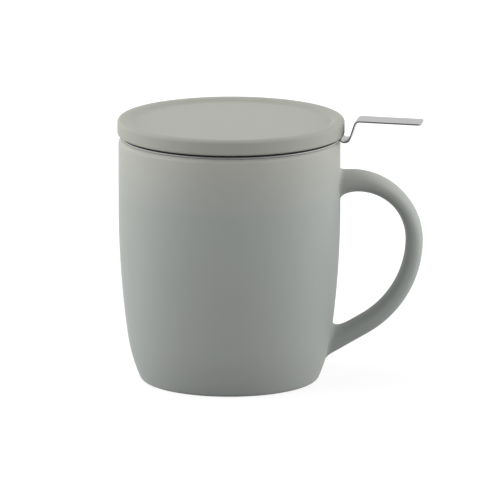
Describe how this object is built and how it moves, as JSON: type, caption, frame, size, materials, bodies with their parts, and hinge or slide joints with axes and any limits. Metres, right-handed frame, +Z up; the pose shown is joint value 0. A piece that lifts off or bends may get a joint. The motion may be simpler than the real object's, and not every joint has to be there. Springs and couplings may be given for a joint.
{
  "type": "lidded tea mug with infuser",
  "caption": "Straight-sided ceramic mug with a strap handle, a lift-out perforated steel infuser with a bent lifting tab, and a loose dished lid that sits on the infuser's flange.",
  "frame": {"origin": "centre of the foot ring, on the surface that the mug stands on, on the mug's axis", "axes": "+Z up along the mug's axis, +X from the axis to the handle, +Y completes a right-handed frame"},
  "size_m": [0.1185, 0.088, 0.104],
  "materials": {
    "stoneware": "fine matte glaze, sage grey",
    "steel_sheet": "satin",
    "weld": "dull, slightly darkened"
  },
  "bodies": {
    "mug": {"mug_body": "stoneware", "mug_handle": "stoneware"},
    "infuser": {"infuser_flange": "steel_sheet", "infuser_wall": "steel_sheet", "infuser_floor": "steel_sheet", "infuser_tab": "steel_sheet", "tab_welds": "weld", "collar_welds": "weld", "floor_welds": "weld"},
    "lid": {"lid": "stoneware"}
  },
  "joints": [
    {"name": "infuser_lift", "type": "slide", "parent": "mug", "child": "infuser", "axis": [0, 0, 1], "range_m": [0, 0.085]},
    {"name": "lid_lift", "type": "slide", "parent": "infuser", "child": "lid", "axis": [0, 0, 1], "range_m": [0, 0.04]}
  ]
}
